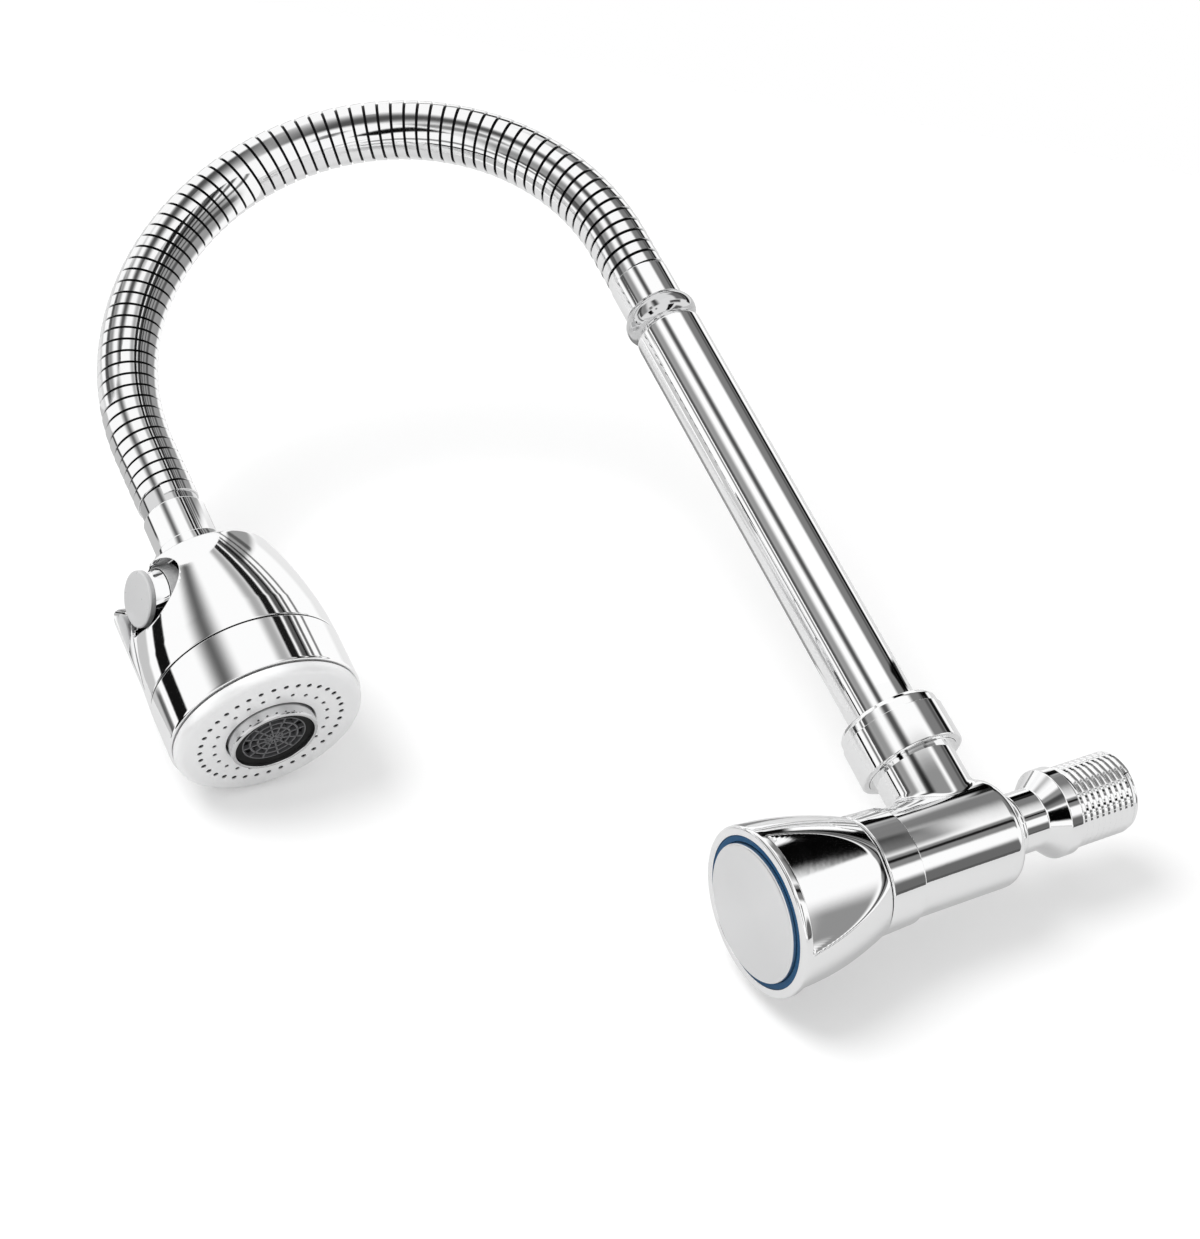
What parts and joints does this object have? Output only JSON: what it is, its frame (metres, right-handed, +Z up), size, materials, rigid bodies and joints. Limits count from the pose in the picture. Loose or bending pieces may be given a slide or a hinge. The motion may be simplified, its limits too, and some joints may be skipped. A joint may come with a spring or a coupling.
{
  "type": "gooseneck tap",
  "caption": "Wall-mounted cold tap with a three-lobed knob, swivelling riser, flexible ribbed gooseneck and a spray head with aerator, nozzle ring and diverter button",
  "frame": {"origin": "centre of the flange's back face, where the inlet thread starts", "axes": "+Y along the inlet thread into the wall, knob towards -Y, +Z up along the riser; the arch is swung 21 degrees from -Y towards -X"},
  "size_m": [0.0904, 0.2058, 0.2897],
  "materials": {
    "chromed_brass": "polished chrome plate",
    "hose_steel": "bright interlocked strip",
    "hose_rubber": "matt black",
    "bare_brass": "machined",
    "ceramic": "lapped white ceramic",
    "seal_rubber": "matt black",
    "spring_steel": "plain steel",
    "slip_nylon": "white nylon",
    "spun_cap": "radially spun satin",
    "cold_blue": "blue gloss",
    "chromed_plastic": "chrome plated plastic",
    "satin_grey": "satin pale grey",
    "inner_plastic": "moulded",
    "black_plastic": "moulded"
  },
  "bodies": {
    "valve": {"valve_body": "chromed_brass", "spout_nut": "chromed_brass", "collar_ring": "chromed_brass", "cartridge_housing": "bare_brass", "cartridge_seal": "seal_rubber", "fixed_ceramic_disc": "ceramic"},
    "handle": {"knob": "chromed_brass", "index_cap": "spun_cap", "cold_ring": "cold_blue", "knob_screw": "spring_steel", "spindle": "bare_brass", "moving_ceramic_disc": "ceramic", "spindle_o_rings": "seal_rubber", "spindle_circlip": "spring_steel"},
    "spout": {"riser_tube": "chromed_brass", "riser_tail": "bare_brass", "tail_o_rings": "seal_rubber", "nut_slip_ring": "slip_nylon", "upper_ferrule": "chromed_brass", "hose_sleeve": "chromed_brass", "hose_nipple": "bare_brass", "hose_section_1": "hose_steel", "inner_tube_1": "hose_rubber"},
    "hose_link_2": {"hose_section_2": "hose_steel", "inner_tube_2": "hose_rubber"},
    "hose_link_3": {"hose_section_3": "hose_steel", "inner_tube_3": "hose_rubber"},
    "hose_link_4": {"hose_section_4": "hose_steel", "inner_tube_4": "hose_rubber"},
    "hose_link_5": {"hose_section_5": "hose_steel", "inner_tube_5": "hose_rubber"},
    "hose_link_6": {"hose_section_6": "hose_steel", "inner_tube_6": "hose_rubber"},
    "hose_link_7": {"hose_section_7": "hose_steel", "inner_tube_7": "hose_rubber"},
    "hose_link_8": {"hose_section_8": "hose_steel", "inner_tube_8": "hose_rubber"},
    "hose_link_9": {"hose_section_9": "hose_steel", "inner_tube_9": "hose_rubber", "lower_ferrule": "chromed_brass", "hose_plug": "bare_brass"},
    "head": {"head_neck": "chromed_brass", "trim_collar": "chromed_brass", "upper_shell": "chromed_plastic", "lower_shell": "chromed_plastic", "face_plate": "satin_grey", "spray_core": "inner_plastic", "aerator_housing": "chromed_brass", "aerator_insert": "black_plastic", "aerator_washer": "seal_rubber", "face_gasket": "seal_rubber"},
    "button": {"diverter_button": "chromed_plastic", "button_cap": "satin_grey", "spool_o_rings": "seal_rubber"}
  },
  "joints": [
    {"name": "knob_turn", "type": "hinge", "parent": "valve", "child": "handle", "pos_m": [0, -0.0586, 0], "axis": [0, -1, 0], "range_deg": [0, 90]},
    {"name": "spout_swivel", "type": "hinge", "parent": "valve", "child": "spout", "pos_m": [0, -0.03, 0.033], "axis": [0, 0, 1], "continuous": true},
    {"name": "hose_bend_1", "type": "hinge", "parent": "spout", "child": "hose_link_2", "pos_m": [-0.00048, -0.03125, 0.20476], "axis": [0.9336, -0.3584, 0], "range_deg": [-18, 4]},
    {"name": "hose_bend_2", "type": "hinge", "parent": "hose_link_2", "child": "hose_link_3", "pos_m": [-0.0042, -0.04093, 0.22981], "axis": [0.9336, -0.3584, 0], "range_deg": [-18, 4]},
    {"name": "hose_bend_3", "type": "hinge", "parent": "hose_link_3", "child": "hose_link_4", "pos_m": [-0.01107, -0.05884, 0.24899], "axis": [0.9336, -0.3584, 0], "range_deg": [-18, 4]},
    {"name": "hose_bend_4", "type": "hinge", "parent": "hose_link_4", "child": "hose_link_5", "pos_m": [-0.02005, -0.08223, 0.25937], "axis": [0.9336, -0.3584, 0], "range_deg": [-18, 4]},
    {"name": "hose_bend_5", "type": "hinge", "parent": "hose_link_5", "child": "hose_link_6", "pos_m": [-0.02977, -0.10754, 0.25937], "axis": [0.9336, -0.3584, 0], "range_deg": [-18, 4]},
    {"name": "hose_bend_6", "type": "hinge", "parent": "hose_link_6", "child": "hose_link_7", "pos_m": [-0.03874, -0.13093, 0.24899], "axis": [0.9336, -0.3584, 0], "range_deg": [-18, 4]},
    {"name": "hose_bend_7", "type": "hinge", "parent": "hose_link_7", "child": "hose_link_8", "pos_m": [-0.04562, -0.14883, 0.22981], "axis": [0.9336, -0.3584, 0], "range_deg": [-18, 4]},
    {"name": "hose_bend_8", "type": "hinge", "parent": "hose_link_8", "child": "hose_link_9", "pos_m": [-0.04933, -0.15852, 0.20476], "axis": [0.9336, -0.3584, 0], "range_deg": [-18, 4]},
    {"name": "head_swivel", "type": "hinge", "parent": "hose_link_9", "child": "head", "pos_m": [-0.04856, -0.16025, 0.16595], "axis": [-0.0879, 0.0337, 0.9956], "continuous": true},
    {"name": "diverter_press", "type": "slide", "parent": "head", "child": "button", "axis": [-0.2362, 0.9702, -0.0537], "range_m": [0, 0.0025], "stiffness_N_per_m": 1200}
  ]
}
